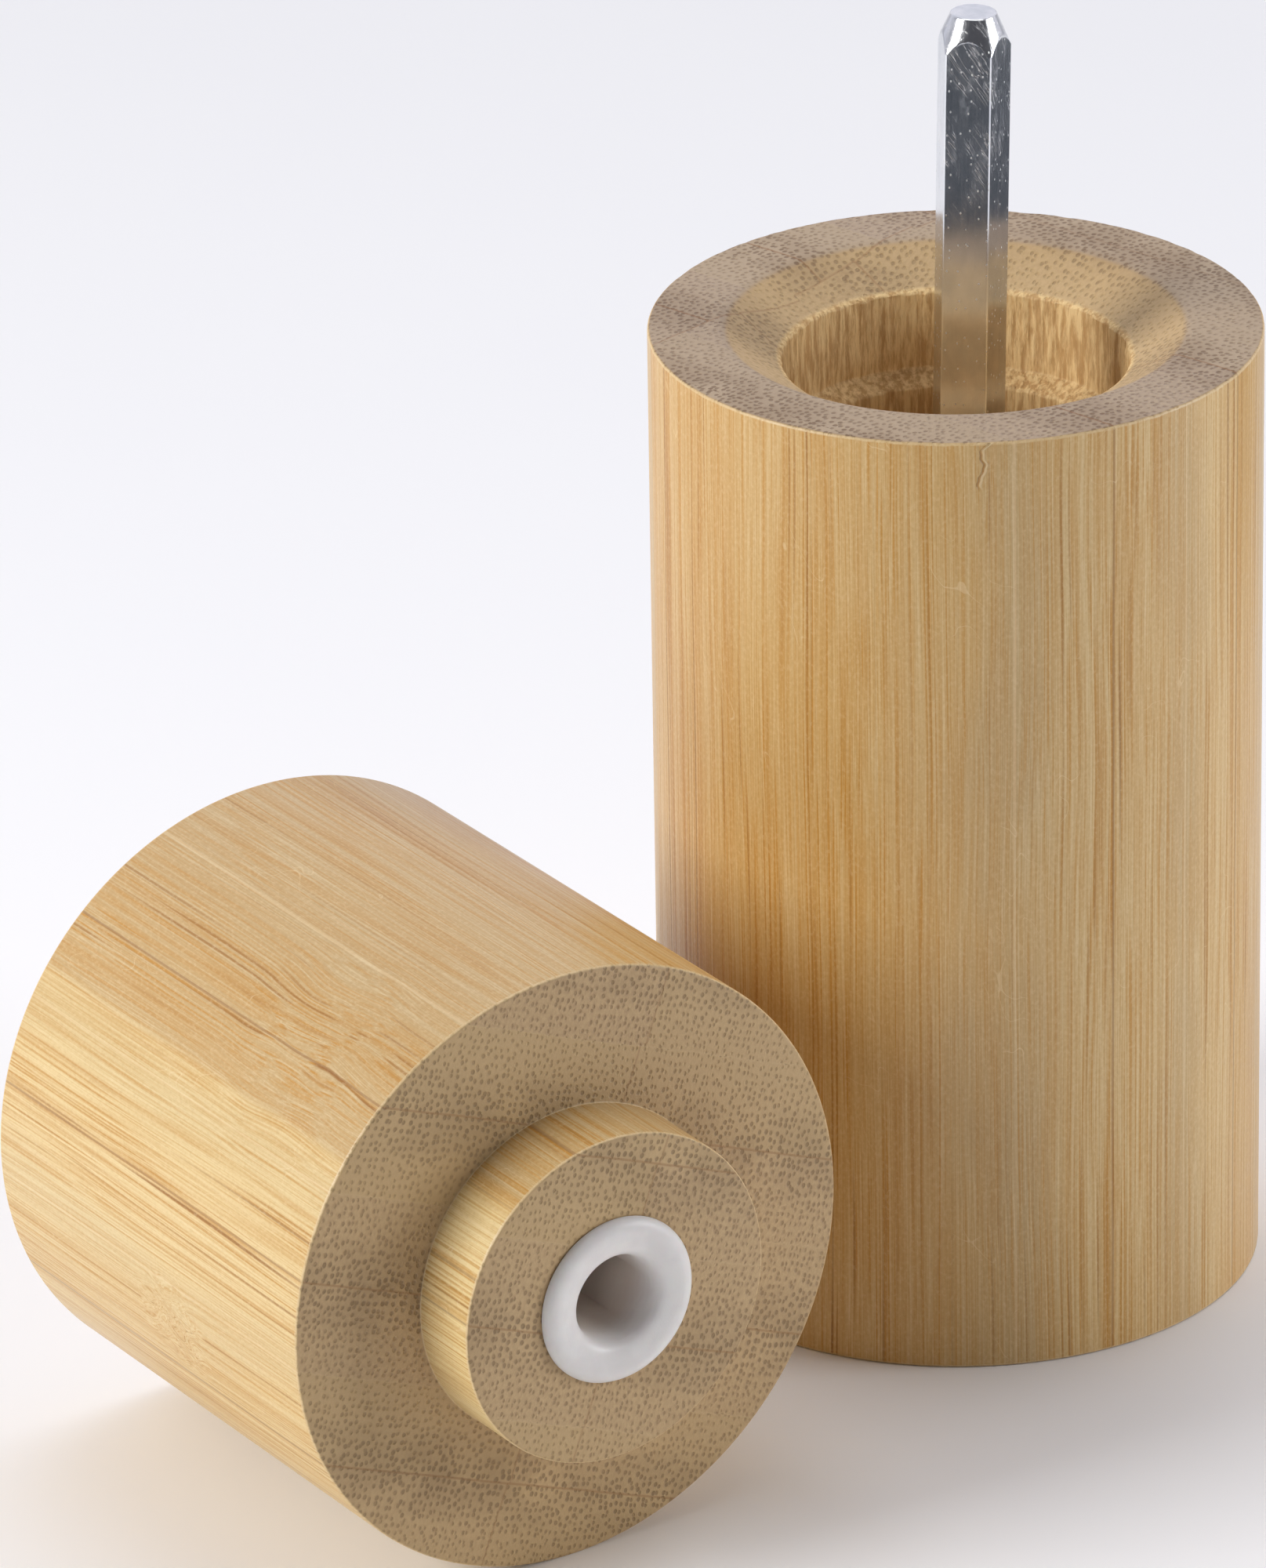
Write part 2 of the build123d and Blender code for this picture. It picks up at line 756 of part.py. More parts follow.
with BuildPart() as grip_ring:
    with BuildSketch(profile_plane):
        with Locations((grip_radius, -grip_depth)):
            Circle(grip_wire_radius)
    revolve(axis=spigot_axis)

grip_ring.part.label = "grip_ring"
export_step(grip_ring.part, "parts/grip_ring.step")
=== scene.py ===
"""Bamboo spice mill with its head pulled off: detailed pieces, materials, light and camera."""

import json
from math import ceil, cos, hypot, radians, sin, tau

import bpy
from mathutils import Matrix, Vector, noise


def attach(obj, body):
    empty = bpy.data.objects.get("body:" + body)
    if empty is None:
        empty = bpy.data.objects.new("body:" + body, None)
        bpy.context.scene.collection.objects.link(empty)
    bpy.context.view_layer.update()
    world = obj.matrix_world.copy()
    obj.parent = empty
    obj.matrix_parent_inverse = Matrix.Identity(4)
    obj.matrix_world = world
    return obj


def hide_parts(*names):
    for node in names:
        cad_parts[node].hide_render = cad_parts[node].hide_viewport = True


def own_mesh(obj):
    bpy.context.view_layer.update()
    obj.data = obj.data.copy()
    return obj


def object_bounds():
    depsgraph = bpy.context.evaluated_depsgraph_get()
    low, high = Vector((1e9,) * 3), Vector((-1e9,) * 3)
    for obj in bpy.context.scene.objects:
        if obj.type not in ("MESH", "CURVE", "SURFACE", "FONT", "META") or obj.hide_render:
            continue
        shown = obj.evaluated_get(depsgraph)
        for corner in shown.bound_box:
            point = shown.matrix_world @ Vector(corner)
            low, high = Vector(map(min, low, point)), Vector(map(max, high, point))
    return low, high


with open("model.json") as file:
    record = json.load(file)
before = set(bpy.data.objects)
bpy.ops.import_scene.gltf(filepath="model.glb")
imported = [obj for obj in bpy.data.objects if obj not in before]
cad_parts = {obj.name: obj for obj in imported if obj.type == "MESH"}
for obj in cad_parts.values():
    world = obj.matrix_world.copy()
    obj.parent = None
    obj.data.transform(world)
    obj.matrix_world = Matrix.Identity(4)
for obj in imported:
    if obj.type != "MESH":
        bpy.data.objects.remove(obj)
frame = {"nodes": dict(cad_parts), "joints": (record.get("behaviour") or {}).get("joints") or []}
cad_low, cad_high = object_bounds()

MM = 0.001

# ---- sizes, in millimetres -----------------------------------------------------
barrel_radius = 26.0
barrel_height = 85.4
edge_round = 0.35
dish_radius = 19.65
dish_depth = 3.05
mouth_radius = 14.7
mouth_length = 6.9
chamber_radius = 13.0
ledge_drop = 1.1
pocket_radius = 16.2
pocket_top = 31.4
recess_radius = 22.5
recess_depth = 7.2

head_radius = 26.5
head_length = 46.1
spigot_radius = 14.5
spigot_length = 6.85
bush_bore_radius = 5.25
bush_bore_depth = 25.5
shaft_bore_radius = 4.3
shaft_bore_depth = 40.0

bush_flange_radius = 7.3
bush_crest_radius = 6.15
bush_crown = 0.9
bush_dip_radius = 4.75
bush_throat_radius = 3.67
bush_dip = 0.62
bush_tube_radius = 5.2
bush_length = 25.0
socket_radius = 3.62
socket_azimuth = 12.0

shaft_corner_radius = 3.28
shaft_corner_azimuth = 7.6
shaft_corner_round = 0.22
shaft_tip_radius = 1.92
shaft_tip_taper = 3.1
shaft_tip_round = 0.07
shaft_bottom = 15.2
shaft_top = 113.4
shaft_lean = 0.98
snap_neck_radius = 2.4
snap_neck_bottom = 24.0
snap_neck_length = 1.4

# ---- where the head lies, from the hinge that it tips over on --------------------
joints = {joint["name"]: joint for joint in frame["joints"]}
tip_over = joints["head_stand_up"]
head_direction = Vector((-tip_over["axis"][1], tip_over["axis"][0], 0)).normalized()
head_end = Vector(tip_over["pos_m"]) + Vector((0, 0, head_radius * MM))
head_face = head_end + head_direction * head_length * MM
head_frame = Matrix.Translation(head_face) @ Matrix(
    (
        (-head_direction.y, 0, head_direction.x, 0),
        (head_direction.x, 0, head_direction.y, 0),
        (0, 1, 0, 0),
        (0, 0, 0, 1),
    )
)


# ---- node materials ------------------------------------------------------------
def colour(red, green, blue):
    """A display colour (0 to 255) as the linear colour that shaders use."""
    shares = [channel / 255 for channel in (red, green, blue)]
    linear = [s / 12.92 if s <= 0.04045 else ((s + 0.055) / 1.055) ** 2.4 for s in shares]
    return (*linear, 1.0)


class Field:
    """A number that varies over a surface; arithmetic on it adds math nodes."""

    def __init__(self, surface, socket):
        self.surface = surface
        self.socket = socket

    def __add__(self, other):
        return self.surface.math("ADD", self, other)

    def __sub__(self, other):
        return self.surface.math("SUBTRACT", self, other)

    def __rsub__(self, other):
        return self.surface.math("SUBTRACT", other, self)

    def __mul__(self, other):
        return self.surface.math("MULTIPLY", self, other)

    def __truediv__(self, other):
        return self.surface.math("DIVIDE", self, other)

    __radd__ = __add__
    __rmul__ = __mul__


class Surface:
    """A node material under construction, measured in the piece's own millimetres."""

    def __init__(self, name, **settings):
        self.material = bpy.data.materials.new(name)
        self.material.use_nodes = True
        self.tree = self.material.node_tree
        self.shader = self.tree.nodes["Principled BSDF"]
        for socket, value in settings.items():
            self.shader.inputs[socket.replace("_", " ")].default_value = value
        source = self.add("ShaderNodeTexCoord")
        self.x, self.y, self.z = (part * (1 / MM) for part in self.parts(source.outputs["Object"]))
        self.tilt = self.parts(source.outputs["Normal"])[2]

    def add(self, kind, **settings):
        node = self.tree.nodes.new(kind)
        for name, value in settings.items():
            setattr(node, name, value)
        return node

    def feed(self, socket, value):
        if isinstance(value, Field):
            value = value.socket
        if isinstance(value, bpy.types.NodeSocket):
            self.tree.links.new(value, socket)
        else:
            socket.default_value = value

    def math(self, operation, *values):
        node = self.add("ShaderNodeMath", operation=operation)
        for socket, value in zip(node.inputs, values):
            self.feed(socket, value)
        return Field(self, node.outputs[0])

    def parts(self, vector):
        node = self.add("ShaderNodeSeparateXYZ")
        self.feed(node.inputs[0], vector)
        return [Field(self, output) for output in node.outputs]

    def point(self, x=0.0, y=0.0, z=0.0):
        node = self.add("ShaderNodeCombineXYZ")
        for socket, value in zip(node.inputs, (x, y, z)):
            self.feed(socket, value)
        return node.outputs[0]

    def noise(self, point, scale, detail=2.0, roughness=0.5):
        node = self.add("ShaderNodeTexNoise")
        self.feed(node.inputs["Vector"], point)
        self.feed(node.inputs["Scale"], scale)
        self.feed(node.inputs["Detail"], detail)
        self.feed(node.inputs["Roughness"], roughness)
        return Field(self, node.outputs["Fac"])

    def cells(self, x, y, size, evenness):
        """Distance to the nearest of many scattered centres, in cell sizes, and that centre's tone."""
        node = self.add("ShaderNodeTexVoronoi", voronoi_dimensions="2D")
        self.feed(node.inputs["Vector"], self.point(x, y))
        self.feed(node.inputs["Scale"], 1 / size)
        self.feed(node.inputs["Randomness"], 1 - evenness)
        tone = self.parts(node.outputs["Color"])[0]
        return Field(self, node.outputs["Distance"]), tone

    def chance(self, x, y=0.0):
        """One random number from 0 to 1 for each pair of whole numbers."""
        node = self.add("ShaderNodeTexWhiteNoise", noise_dimensions="2D")
        self.feed(node.inputs["Vector"], self.point(x, y))
        return Field(self, node.outputs["Value"])

    def rise(self, value, low, high, start=0.0, end=1.0):
        """Start below low, end above high, and a smooth step between."""
        node = self.add("ShaderNodeMapRange", interpolation_type="SMOOTHSTEP")
        for socket, number in zip(node.inputs, (value, low, high, start, end)):
            self.feed(socket, number)
        return Field(self, node.outputs[0])

    def line(self, distance, width):
        """1 where distance is near 0, fading out at width."""
        return self.rise(self.math("ABSOLUTE", distance), width * 0.4, width, 1.0, 0.0)

    def mix(self, share, first, second):
        node = self.add("ShaderNodeMix", data_type="RGBA")
        self.feed(node.inputs["Factor"], share)
        self.feed(node.inputs[6], first)
        self.feed(node.inputs[7], second)
        return node.outputs[2]

    def near(self, centre, reach):
        """1 at a point of the piece, fading to 0 at reach from it."""
        node = self.add("ShaderNodeVectorMath", operation="DISTANCE")
        self.feed(node.inputs[0], self.point(self.x, self.y, self.z))
        self.feed(node.inputs[1], centre)
        return self.rise(Field(self, node.outputs["Value"]), 0.0, reach, 1.0, 0.0)

    def finish(self, base, roughness, height=None, depth=0.0):
        """Connects colour, roughness and a relief of the given depth in millimetres."""
        self.feed(self.shader.inputs["Base Color"], base)
        self.feed(self.shader.inputs["Roughness"], roughness)
        if height is not None:
            bump = self.add("ShaderNodeBump")
            bump.inputs["Distance"].default_value = depth * MM
            bump.inputs["Strength"].default_value = 1.0
            self.feed(bump.inputs["Height"], height)
            self.feed(self.shader.inputs["Normal"], bump.outputs[0])
        return self.material


# ---- laminated bamboo ------------------------------------------------------------
side_pale = colour(218, 188, 134)
side_honey = colour(207, 169, 106)
side_grey = colour(194, 165, 117)
side_tan = colour(192, 160, 112)
streak_brown = colour(158, 106, 38)
streak_orange = colour(196, 142, 60)
end_base = colour(171, 138, 100)
end_light = colour(192, 160, 118)
# grey-blue for a painted sheen on level ends
end_painted_sheen = colour(118, 158, 190)
end_dot = colour(112, 83, 54)
dish_base = colour(190, 158, 108)
glue_dark = colour(142, 94, 46)
pale_fibre = colour(240, 218, 174)
bore_brown = colour(248, 216, 158)
bore_dark = colour(200, 158, 103)
# pale unvarnished wood; also used as painted light on the spigot's side
fresh_cut_and_painted_light = colour(236, 214, 158)
# painted highlight colour for rounded edges and crack lips
painted_edge_highlight = colour(226, 198, 150)

layer_pitch = 7.7
bundle_pitch = 0.58
bundle_stretch = 1.2
line_pitch = 0.3
fibre_pitch = 0.14
glue_width = 0.14
seam_width = 0.13
crack_width = 0.16
bamboo_relief = 0.05


class Laminate:
    """Bamboo strips glued flat side to flat side, their fibres along the piece's Z axis.

    direction is the azimuth of the layers, pitch their thickness, thin_line the place of
    one glue line between two open-grained sides, joint where the strips of a layer meet
    side by side and shift how far the layers step there. knots are (centre, reach,
    strength, size) places where the fibres swirl. dense runs from 0 on a strip's
    open-grained side to 1 on its close-grained side.
    """

    def __init__(self, s, direction, pitch, thin_line, joint, shift=0.0, knots=()):
        turn = radians(direction)

        # fibres wander a little along their length
        drift = (s.noise(s.point(s.x / 9, s.y / 9, s.z / 46), 1.0, 1.0) - 0.5) * 1.5
        sway = (s.noise(s.point(s.x / 8, s.y / 8 + 40.0, s.z / 38), 1.0, 1.0) - 0.5) * 0.9
        for centre, reach, strength, size in knots:
            here = s.near(centre, reach) * strength
            swirl = s.point(s.x / size, s.y / size, s.z / size / 2)
            drift = drift + here * (s.noise(swirl, 0.8, 1.0) - 0.5)
            sway = sway + here * (s.noise(swirl, 0.9, 1.0) - 0.5)
        straight = s.y * cos(turn) - s.x * sin(turn)
        along = s.x * cos(turn) + s.y * sin(turn) + drift
        across = straight + sway

        # layers and the two columns of strips
        self.level = straight + sway * 0.3
        slab = s.math("FLOOR", (self.level - thin_line) / pitch)
        joint_place = along - drift * 0.7 - joint - (s.chance(slab, 5.0) - 0.5) * 1.3
        column = s.math("GREATER_THAN", joint_place, 0.0)
        depth = self.level + (1 - column) * shift - thin_line
        layer = s.math("FLOOR", depth / pitch)
        self.dense = s.math("PINGPONG", depth, pitch) / pitch
        self.dense_side = s.rise(self.dense, 0.4, 0.6)
        self.strip_tone = s.chance(layer, column)
        self.seam = s.line(joint_place, seam_width)
        # a glue line is not seen where the turned side runs flat along it
        flat_along = s.rise(s.math("ABSOLUTE", straight), 21.0, 23.0)
        self.glue = s.line(s.math("PINGPONG", depth, pitch / 2), glue_width) * (1 - flat_along)

        # fibre bundles: dots where they are cut across, lines where they are cut along
        spread = along + layer * 13.7 + column * 5.1
        self.reach, self.tone = s.cells(spread, across / bundle_stretch, bundle_pitch, 0.3)
        size = self.dense * 0.1 + 0.17 + (self.tone - 0.5) * 0.08
        self.bundle = s.rise(self.reach, size - 0.08, size + 0.14, 1.0, 0.0)
        self.bundle_line = s.rise(self.reach, 0.08, size, 1.0, 0.0)
        fine_reach, self.fine_tone = s.cells(spread + 3.0, across, line_pitch, 0.1)
        self.fine_line = s.rise(fine_reach, 0.12, 0.36, 1.0, 0.0)

        # noise along the fibres, from single fibres to broad patches
        self.fine = s.noise(s.point(spread / fibre_pitch, across / fibre_pitch, s.z / 26), 1.0, 3.0, 0.6)
        self.clusters = s.noise(s.point(spread / 0.9, across / 0.9, s.z / 50), 1.0, 3.0, 0.6)
        self.bands = s.noise(s.point(along / 1.5, across / 1.5, s.z / 60), 1.0, 2.0)
        self.patches = s.noise(s.point(along / 6, across / 6, s.z / 16), 1.0, 2.0)
        self.speckle = s.noise(s.point(spread * 1.3, across / 1.3, s.z), 2.6, 3.0, 0.65)


def side_colour(s, wood, radius, bleach, unvarnished_and_painted_light_radius, tan_above):
    """The turned sides: honey strips with darker lines along them."""
    side = s.mix(s.rise(wood.strip_tone, 0.1, 0.9), side_pale, side_honey)
    greyer = s.rise(wood.dense + (wood.patches - 0.5) * 0.9, 0.0, 0.6, 0.75, 0.0)
    side = s.mix(greyer, side, side_grey)
    side = s.mix(bleach, side, fresh_cut_and_painted_light)
    # the spigot's side painted paler: unvarnished wood, and painted light where the head's face shades
    # it
    if unvarnished_and_painted_light_radius:
        side = s.mix(s.rise(radius, unvarnished_and_painted_light_radius, unvarnished_and_painted_light_radius + 0.4, 0.7, 0.0), side, fresh_cut_and_painted_light)
    if tan_above is not None:
        side = s.mix(s.rise(wood.level, tan_above - 0.8, tan_above + 0.4) * 0.75, side, side_tan)

    # single fibres and clusters of them
    side = s.mix(s.rise(wood.fine, 0.45, 0.7) * 0.55, side, streak_orange)
    side = s.mix(s.rise(wood.fine, 0.5, 0.3) * 0.3, side, pale_fibre)
    side = s.mix(s.rise(wood.clusters, 0.45, 0.7) * (wood.dense * 0.5 + 0.2), side, streak_orange)
    side = s.mix(s.rise(wood.clusters, 0.58, 0.75) * wood.dense * 0.5, side, streak_brown)

    # bundles, fine and coarse
    strength = s.rise(wood.fine_tone + (wood.bands - 0.5) * 1.2, 0.1, 0.7) * (wood.dense * 0.6 + 0.35)
    side = s.mix(wood.fine_line * strength, side, streak_orange)
    strength = s.rise(wood.tone + (wood.bands - 0.5) * 1.6, 0.1, 0.8) * (wood.dense * 0.7 + 0.3)
    streak = s.mix(s.rise(wood.bands, 0.4, 0.65), streak_orange, streak_brown)
    side = s.mix(wood.bundle_line * strength, side, streak)

    # pores, and the glue between the layers
    pores = s.noise(s.point(s.x * 4, s.y * 4, s.z * 2.5), 1.0, 2.0, 0.6)
    side = s.mix(s.rise(pores, 0.5, 0.68) * 0.16, side, pale_fibre)
    side = s.mix(s.rise(pores, 0.48, 0.3) * 0.12, side, streak_brown)
    side = s.mix(wood.glue * wood.dense_side * 0.5, side, glue_dark)
    return s.mix(wood.glue * (1 - wood.dense_side) * 0.3, side, pale_fibre)


def end_colour(s, wood, level_share, bleach, painted_sheen_share):
    """The cut ends: browner, dotted with cut bundles, yellower where they slope, and with a painted
    grey-blue sheen where they lie level.
    """
    end = s.mix(s.rise(wood.speckle, 0.38, 0.68), end_base, end_light)
    end = s.mix(s.rise(wood.strip_tone, 0.2, 0.8) * 0.55, end, dish_base)
    slope = s.rise(level_share, 0.87, 0.97, 1.0, 0.0)
    end = s.mix(slope * 0.7, end, dish_base)
    end = s.mix(s.rise(wood.reach, 0.3, 0.6) * 0.5, end, end_light)
    # painted sheen: level ends mixed toward grey-blue, standing in for the varnish's reflection of the
    # bright backdrop
    end = s.mix((1 - slope) * painted_sheen_share, end, end_painted_sheen)
    dot_strength = wood.dense * 0.45 + 0.2 + (wood.tone - 0.5) * 0.3
    end = s.mix(wood.bundle * dot_strength, end, end_dot)
    end = s.mix(wood.dense_side * wood.dense * s.rise(wood.patches, 0.35, 0.6) * 0.3, end, end_dot)
    end = s.mix(wood.glue * wood.dense_side * 0.55, end, glue_dark)
    end = s.mix(wood.glue * (1 - wood.dense_side) * 0.05, end, pale_fibre)
    end = s.mix(wood.seam * 0.4, end, glue_dark)
    return s.mix(bleach * 0.25, end, fresh_cut_and_painted_light)


def edge_crack(s, on_side, place, bottom):
    """A crack from a height up to the top edge at the front: its gap, the painted shade in the gap, its
    lip.
    """
    wiggle = (s.noise(s.point(s.z / 1.5, 3.0, 0.0), 1.0, 1.0) - 0.5) * 1.6
    lean = s.rise(s.z, bottom + 3.2, bottom + 5.2)
    off = s.x - place - wiggle - lean
    front = s.math("LESS_THAN", s.y, 0) * on_side * s.rise(s.z, bottom, bottom + 1.0)
    gap = s.line(off, crack_width) * front
    lip = s.line(off - 0.2, crack_width) * front
    return gap, gap * s.rise(lean, 0.0, 0.5, 0.6, 0.15), lip


def bamboo(name, strips, bore=0.0, unvarnished_and_painted_light_radius=0.0, bleach=0.0, painted_sheen_share=0.0, tan_above=None, crack=None):
    """Varnished laminated bamboo; strips are the settings of its Laminate.

    Fibres are torn inside the bore radius, the sides inside the next radius are painted
    paler, as unvarnished wood and as painted light where the head's face shades them, bleach
    is how far the whole piece is paler, the next share how far its level ends get a painted
    grey-blue sheen, the layers beyond tan_above are browner and crack is (place, bottom) of a
    crack in the top edge.
    """
    s = Surface(name, Specular_IOR_Level=0.5)
    wood = Laminate(s, **strips)
    radius = s.math("SQRT", s.x * s.x + s.y * s.y)
    level_share = s.math("ABSOLUTE", s.tilt)
    facing_end = s.rise(level_share, 0.45, 0.8)

    side = side_colour(s, wood, radius, bleach, unvarnished_and_painted_light_radius, tan_above)
    end = end_colour(s, wood, level_share, bleach, painted_sheen_share)
    base = s.mix(facing_end, side, end)
    # painted highlight along the rounded edges, over pale fibres there
    on_edge = s.rise(level_share, 0.12, 0.3) * (1 - s.rise(level_share, 0.7, 0.93))
    base = s.mix(on_edge * s.rise(wood.speckle, 0.3, 0.6, 0.3, 0.85), base, painted_edge_highlight)

    # handling marks: short pale scratches on the varnish
    slant = s.noise(s.point(s.x / 3 + s.z / 9, s.y / 3 - s.z / 7, s.z / 12), 1.0, 1.0)
    marks = s.line(slant - 0.5, 0.004) * s.rise(wood.patches, 0.56, 0.62) * (1 - facing_end)
    base = s.mix(marks * 0.35, base, pale_fibre)

    sanding = s.noise(s.point(s.x * 1.2, s.y * 1.2, s.z * 9), 1.0, 2.0)
    relief = wood.fine * 0.35 + sanding * 0.12 - wood.bundle * (facing_end * 0.8 + 0.2)
    relief = relief + wood.speckle * facing_end * 0.7
    roughness = facing_end * 0.2 + 0.36 + (wood.patches - 0.5) * 0.16 + wood.bundle * 0.06 + marks * 0.2
    if bore:
        torn = s.rise(radius, bore, bore + 0.5, 1.0, 0.0)
        shreds = s.noise(s.point(s.x * 2.0, s.y * 2.0, s.z * 0.25), 1.0, 4.0, 0.65)
        wall = s.mix(s.rise(shreds, 0.38, 0.62), bore_dark, bore_brown)
        base = s.mix(torn * 0.85, base, wall)
        relief = relief + torn * shreds * 4.0
        roughness = roughness + torn * 0.3
    if crack:
        gap, painted_crack_shade, lip = edge_crack(s, 1 - facing_end, *crack)
        # painted shade in the crack's gap, and a painted highlight on its lip
        base = s.mix(painted_crack_shade, base, streak_brown)
        base = s.mix(lip * 0.8, base, painted_edge_highlight)
        relief = relief - gap * 2.0 + lip
    return s.finish(base, roughness, relief, bamboo_relief)


# ---- other materials ---------------------------------------------------------------
def aluminium(name, worn_above):
    """Bright drawn bar: faint lines along it, and scratches and specks above a height."""
    s = Surface(name, Metallic=1.0)
    worn = s.rise(s.z, worn_above - 12.0, worn_above, 0.12, 1.0)
    drawn = s.noise(s.point(s.x * 7, s.y * 7, s.z / 40), 1.0, 3.0, 0.6)
    cloud = s.noise(s.point(s.x, s.y, s.z / 2), 0.5, 3.0, 0.6)
    reach, tone = s.cells(s.x * 1.6 + s.y * 1.6, s.z, 1.1, 0.0)
    speck = s.rise(reach, 0.05, 0.11, 1.0, 0.0) * s.rise(tone, 0.5, 0.6)
    slant = s.noise(s.point((s.x + s.y) * 1.6 + s.z * 0.9, s.z * 0.1 - s.x * 0.1, 4.0), 1.6, 2.0, 0.6)
    scratch = s.line(slant - 0.5, 0.007) * s.rise(cloud, 0.46, 0.62) * worn
    smear = s.rise(s.noise(s.point(s.x * 1.2, s.y * 1.2, s.z / 2.5), 1.0, 4.0, 0.7), 0.5, 0.65) * worn
    base = s.mix(s.rise(cloud, 0.3, 0.7), colour(214, 217, 222), colour(232, 233, 236))
    base = s.mix(speck * 0.5 + scratch * 0.4, base, colour(250, 248, 240))
    roughness = 0.1 + cloud * 0.05 + drawn * 0.08 + speck * 0.3 + scratch * 0.25 + smear * 0.08
    return s.finish(base, roughness, drawn * 1.2 + scratch * 0.5 + speck * 0.6 + smear * 0.2, 0.01)


def moulded(name, tint, shade, roughness, grain, browner_below=None, **settings):
    """Injection-moulded plastic: soft colour drift, a fine grain and faint flow lines.

    Below a given height it turns browner.
    """
    s = Surface(name, **settings)
    spot = s.point(s.x, s.y, s.z)
    drift = s.noise(spot, 0.22, 3.0)
    pits = s.noise(spot, grain, 2.0, 0.6)
    flow = s.noise(s.point(s.x * 0.6, s.y * 0.6, s.z * 3), 1.0, 2.0)
    base = s.mix(s.rise(drift + (flow - 0.5) * 0.3, 0.35, 0.65), tint, shade)
    if browner_below is not None:
        # browner towards the bottom of the socket
        browner_share = s.rise(s.z, browner_below - 3.0, browner_below, 1.0, 0.0)
        base = s.mix(browner_share * 0.6, base, colour(204, 186, 168))
    polish = roughness + (pits - 0.5) * 0.12 + (drift - 0.5) * 0.1
    return s.finish(base, polish, pits + flow * 0.4, 0.008)


def fired_ceramic(name):
    """Unglazed fired ceramic: off-white with fine specks and a sugary grain."""
    s = Surface(name, Specular_IOR_Level=0.45)
    spot = s.point(s.x, s.y, s.z)
    grain = s.noise(spot, 5.0, 4.0, 0.7)
    cloud = s.noise(spot, 0.35, 2.0)
    base = s.mix(s.rise(cloud, 0.3, 0.7), colour(236, 232, 222), colour(222, 216, 202))
    base = s.mix(s.rise(grain, 0.66, 0.74) * 0.6, base, colour(150, 138, 120))
    return s.finish(base, 0.5 + grain * 0.2, grain, 0.02)


def turned_metal(name, tint, shade, roughness):
    """Lathe-turned or drawn metal: fine rings round Z, handling marks and dull patches."""
    s = Surface(name, Metallic=1.0)
    radius = s.math("SQRT", s.x * s.x + s.y * s.y)
    rings = s.noise(s.point(radius * 14, s.z * 14, 0.0), 1.0, 2.0, 0.6)
    dull = s.noise(s.point(s.x, s.y, s.z), 0.4, 3.0, 0.6)
    base = s.mix(s.rise(dull, 0.35, 0.68), tint, shade)
    return s.finish(base, roughness + rings * 0.12 + dull * 0.14, rings, 0.01)


def soft_rubber(name):
    """Black rubber: slightly dusty, with mould grain."""
    s = Surface(name, Specular_IOR_Level=0.35)
    spot = s.point(s.x, s.y, s.z)
    dust = s.noise(spot, 0.6, 3.0)
    grain = s.noise(spot, 8.0, 2.0)
    base = s.mix(s.rise(dust, 0.4, 0.7), colour(30, 30, 31), colour(52, 51, 50))
    return s.finish(base, 0.62 + dust * 0.18, grain, 0.02)


barrel_bamboo = bamboo(
    "barrel_bamboo",
    dict(direction=-42.0, pitch=layer_pitch, thin_line=-1.0, joint=-16.5, shift=4.2),
    bore=mouth_radius + 0.15,
    # a painted grey-blue sheen on the barrel's level ends
    painted_sheen_share=0.15,
    crack=(1.3, 80.8),
)
head_bamboo = bamboo(
    "head_bamboo",
    dict(
        direction=-21.5,
        pitch=layer_pitch,
        thin_line=4.1,
        joint=0.7,
        knots=[((-25.8, -6.0, -20.3), 6.0, 9.0, 1.8), ((-17.0, 20.3, -11.0), 13.0, 3.6, 5.0)],
    ),
    # the spigot's side painted paler: unvarnished wood, and painted light
    unvarnished_and_painted_light_radius=spigot_radius + 0.1,
    bleach=0.5,
    tan_above=7.0,
)
bright_aluminium = aluminium("bright_aluminium", worn_above=106.0)
white_plastic = moulded(
    "white_plastic",
    colour(234, 230, 226),
    colour(226, 221, 218),
    0.36,
    6.0,
    # browner below a height inside the socket
    browner_below=spigot_length - 0.4,
    Subsurface_Weight=0.12,
    Subsurface_Scale=0.002,
)
grey_plastic = moulded("grey_plastic", colour(196, 194, 188), colour(182, 180, 174), 0.48, 9.0)
dial_plastic = moulded("dial_plastic", colour(40, 40, 42), colour(52, 52, 54), 0.45, 9.0)
ceramic = fired_ceramic("ceramic")
brass = turned_metal("brass", colour(214, 178, 96), colour(190, 152, 78), 0.22)
plated_steel = turned_metal("plated_steel", colour(204, 206, 208), colour(176, 178, 180), 0.26)
spring_steel = turned_metal("spring_steel", colour(168, 168, 170), colour(136, 136, 140), 0.28)
black_rubber = soft_rubber("black_rubber")

node_materials = {
    "grinder_housing": grey_plastic,
    "bearing_bridge": grey_plastic,
    "burr_retainer": grey_plastic,
    "rotor_hub": grey_plastic,
    "adjuster_dial": dial_plastic,
    "feeder": dial_plastic,
    "outer_burr": ceramic,
    "inner_burr": ceramic,
    "bearing_sleeve": brass,
    "thrust_stud": brass,
    "housing_screws": plated_steel,
    "spring_washer": spring_steel,
    "socket_snap_ring": spring_steel,
    "dial_clip": spring_steel,
    "thrust_ball": spring_steel,
    "grip_ring": black_rubber,
}
for node_name, material in node_materials.items():
    mesh = frame["nodes"][node_name].data
    mesh.materials.clear()
    mesh.materials.append(material)


# ---- mesh helpers ------------------------------------------------------------------
on_axis = 1e-6


